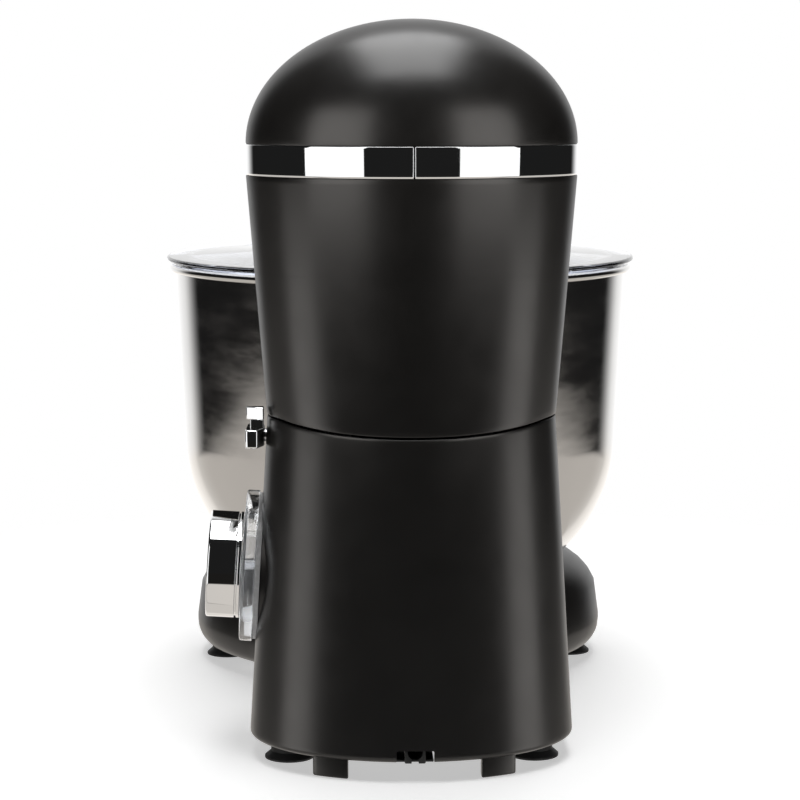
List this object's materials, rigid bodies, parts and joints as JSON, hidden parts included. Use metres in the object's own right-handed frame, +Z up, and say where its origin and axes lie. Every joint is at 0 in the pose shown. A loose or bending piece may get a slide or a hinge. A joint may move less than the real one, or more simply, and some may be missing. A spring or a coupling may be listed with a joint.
{
  "type": "stand mixer",
  "caption": "Tilt-head stand mixer: rounded black column and head with a chrome band, steel bowl with clear splash guard, chrome speed dial and release lever.",
  "frame": {"origin": "on the floor under the middle of the mixer's bounding box", "axes": "+Z up, +Y towards the back of the column, -Y towards the bowl, +X towards the speed dial and the release lever"},
  "size_m": [0.245, 0.3517, 0.3396],
  "materials": {
    "beater_alloy": "burnished",
    "belt_rubber": "ribbed rubber",
    "black_plastic": "matte black moulded plastic",
    "black_shell": "satin black moulded plastic",
    "board": "printed circuit board",
    "brass_parts": "pressed brass",
    "carbon": "sintered carbon",
    "cast_alloy": "die cast",
    "chrome_trim": "bright chrome plating",
    "clear_plastic": "clear moulded plastic",
    "clear_ring": "clear moulded plastic",
    "copper": "bare copper alloy",
    "core_iron": "laminated electrical steel",
    "foot_rubber": "soft black rubber",
    "gear_nylon": "glass filled nylon",
    "grey_plastic": "grey moulded plastic",
    "ground_steel": "ground steel",
    "polished_steel": "polished stainless steel",
    "winding": "varnished copper winding",
    "zinc_steel": "zinc plated steel"
  },
  "bodies": {
    "base": {"base_housing": "black_shell", "bottom_plate": "black_plastic", "bottom_screws": "zinc_steel", "suction_feet": "foot_rubber", "bowl_seat": "black_plastic", "seat_screws": "zinc_steel", "cord_gland": "black_plastic", "dial_light_ring": "clear_ring", "dial_backplate": "grey_plastic", "rotary_switch": "black_plastic", "control_board": "board", "heat_sink": "cast_alloy", "hinge_bracket": "cast_alloy", "bracket_screws": "zinc_steel", "hinge_pin": "ground_steel", "pin_clips": "zinc_steel", "lever_spring": "ground_steel"},
    "dial": {"dial_knob": "chrome_trim", "switch_shaft": "ground_steel"},
    "lever": {"release_lever": "chrome_trim", "lever_shaft": "ground_steel", "latch_hook": "zinc_steel"},
    "head": {"head_lower_housing": "black_shell", "chrome_band": "chrome_trim", "head_top_cover": "black_shell", "cover_screws": "zinc_steel", "hinge_block": "cast_alloy", "hinge_block_screws": "zinc_steel", "motor_frame": "cast_alloy", "stator_core": "core_iron", "field_coils": "winding", "brush_holders": "brass_parts", "carbon_brushes": "carbon", "motor_bearings": "ground_steel", "gear_case": "cast_alloy", "gear_case_cover": "cast_alloy", "gear_case_screws": "zinc_steel", "ring_gear": "ground_steel", "drive_belt": "belt_rubber", "shaft_bearings": "ground_steel", "splash_guard": "clear_plastic"},
    "rotor": {"motor_shaft": "ground_steel", "armature": "winding", "commutator": "copper", "cooling_fan": "black_plastic", "motor_pulley": "black_plastic"},
    "intermediate_shaft": {"layshaft": "ground_steel", "large_pulley": "black_plastic", "pinion": "ground_steel"},
    "carrier": {"output_shaft": "ground_steel", "main_gear": "gear_nylon", "planet_carrier": "cast_alloy"},
    "beater": {"planet_shaft": "ground_steel", "planet_gear": "ground_steel", "cross_pin": "ground_steel", "flat_beater": "beater_alloy"},
    "bowl": {"bowl": "polished_steel", "bowl_foot": "polished_steel"}
  },
  "joints": [
    {"name": "head_tilt", "type": "hinge", "parent": "base", "child": "head", "pos_m": [0, 0.146, 0.172], "axis": [-1, 0, 0], "range_deg": [0, 35]},
    {"name": "bowl_twist", "type": "hinge", "parent": "base", "child": "bowl", "pos_m": [0, -0.05325, 0.041], "axis": [0, 0, 1], "range_deg": [0, 38]},
    {"name": "dial_turn", "type": "hinge", "parent": "base", "child": "dial", "pos_m": [0.0712, 0.103, 0.0855], "axis": [-0.9981, 0, -0.061], "range_deg": [-30, 150]},
    {"name": "lever_turn", "type": "hinge", "parent": "base", "child": "lever", "pos_m": [0.06, 0.118, 0.15], "axis": [1, 0, 0], "range_deg": [0, 25], "stiffness_Nm_per_rad": 0.3, "springref_deg": -14.32},
    {"name": "carrier_spin", "type": "hinge", "parent": "head", "child": "carrier", "pos_m": [0, -0.05325, 0.225], "axis": [0, 0, 1], "continuous": true},
    {"name": "beater_spin", "type": "hinge", "parent": "carrier", "child": "beater", "pos_m": [0, -0.02925, 0.225], "axis": [0, 0, 1], "continuous": true},
    {"name": "intermediate_spin", "type": "hinge", "parent": "head", "child": "intermediate_shaft", "pos_m": [0, -0.00825, 0.26], "axis": [0, 0, 1], "continuous": true},
    {"name": "motor_spin", "type": "hinge", "parent": "head", "child": "rotor", "pos_m": [0, 0.12, 0.23], "axis": [0, 0, 1], "continuous": true}
  ],
  "couplings": [
    {"joint": "beater_spin", "follows": "carrier_spin", "ratio": -3},
    {"joint": "intermediate_spin", "follows": "carrier_spin", "ratio": -3},
    {"joint": "motor_spin", "follows": "carrier_spin", "ratio": -9}
  ]
}
